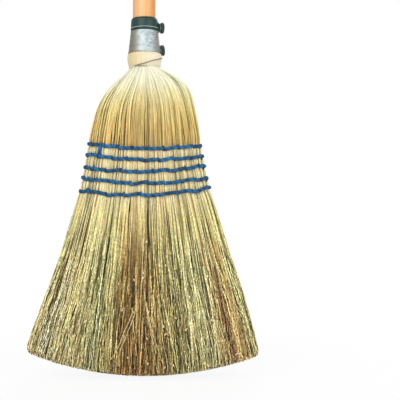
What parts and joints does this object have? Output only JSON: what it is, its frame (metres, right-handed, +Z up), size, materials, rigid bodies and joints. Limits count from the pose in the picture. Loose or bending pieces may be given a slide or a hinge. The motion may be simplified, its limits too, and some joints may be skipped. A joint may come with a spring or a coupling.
{
  "type": "straw broom",
  "caption": "Flared straw broom head, bound with wire and stitched with twine, clamped on a round wooden handle by a collar and sleeve with thumb screws.",
  "frame": {"origin": "on the handle's axis, level with the lowest straw tips", "axes": "+Z up along the handle, +X across the head's width towards the screws, -Y towards the front face"},
  "size_m": [0.2761, 0.0614, 1.5317],
  "materials": {
    "varnished_softwood": "satin varnish",
    "dark_green_plastic": "moulded",
    "galvanised_sheet": "galvanised",
    "zinc_plated_steel": "zinc plated",
    "brass": "turned",
    "binding_wire": "drawn",
    "sorghum_straw": "dry straw",
    "blue_twine": "twisted"
  },
  "bodies": {
    "handle": {"handle": "varnished_softwood"},
    "head": {"straw_core": "sorghum_straw", "front_cover_straw": "sorghum_straw", "back_cover_straw": "sorghum_straw", "right_shoulder_straw": "sorghum_straw", "left_shoulder_straw": "sorghum_straw", "skirt_straw_1": "sorghum_straw", "skirt_straw_2": "sorghum_straw", "skirt_straw_3": "sorghum_straw", "skirt_straw_4": "sorghum_straw", "skirt_straw_5": "sorghum_straw", "skirt_straw_6": "sorghum_straw", "neck_wrap": "sorghum_straw", "neck_wire": "binding_wire", "stitch_twine": "blue_twine", "metal_sleeve": "galvanised_sheet", "collar_ring": "dark_green_plastic", "upper_threaded_bush": "brass", "lower_threaded_bush": "brass"},
    "upper_clamp_washer": {"upper_washer": "zinc_plated_steel"},
    "upper_clamp_screw": {"upper_screw": "zinc_plated_steel", "upper_knob": "dark_green_plastic"},
    "lower_clamp_washer": {"lower_washer": "zinc_plated_steel"},
    "lower_clamp_screw": {"lower_screw": "zinc_plated_steel", "lower_knob": "dark_green_plastic"}
  },
  "joints": [
    {"name": "head_release", "type": "slide", "parent": "handle", "child": "head", "axis": [0, 0, -1], "range_m": [0, 0.12]},
    {"name": "upper_screw_turn", "type": "hinge", "parent": "head", "child": "upper_clamp_washer", "pos_m": [0.01819, 0.00387, 0.4172], "axis": [0.9781, 0.2079, 0], "range_deg": [0, 540]},
    {"name": "upper_screw_advance", "type": "slide", "parent": "upper_clamp_washer", "child": "upper_clamp_screw", "axis": [0.9781, 0.2079, 0], "range_m": [0, 0.0015]},
    {"name": "lower_screw_turn", "type": "hinge", "parent": "head", "child": "lower_clamp_washer", "pos_m": [0.01858, 0.00395, 0.3899], "axis": [0.9717, 0.2066, 0.1142], "range_deg": [0, 540]},
    {"name": "lower_screw_advance", "type": "slide", "parent": "lower_clamp_washer", "child": "lower_clamp_screw", "axis": [0.9717, 0.2066, 0.1142], "range_m": [0, 0.0015]}
  ],
  "couplings": [
    {"joint": "upper_screw_turn", "follows": "upper_screw_advance", "rad_per_m": 6283.2},
    {"joint": "lower_screw_turn", "follows": "lower_screw_advance", "rad_per_m": 6283.2}
  ]
}
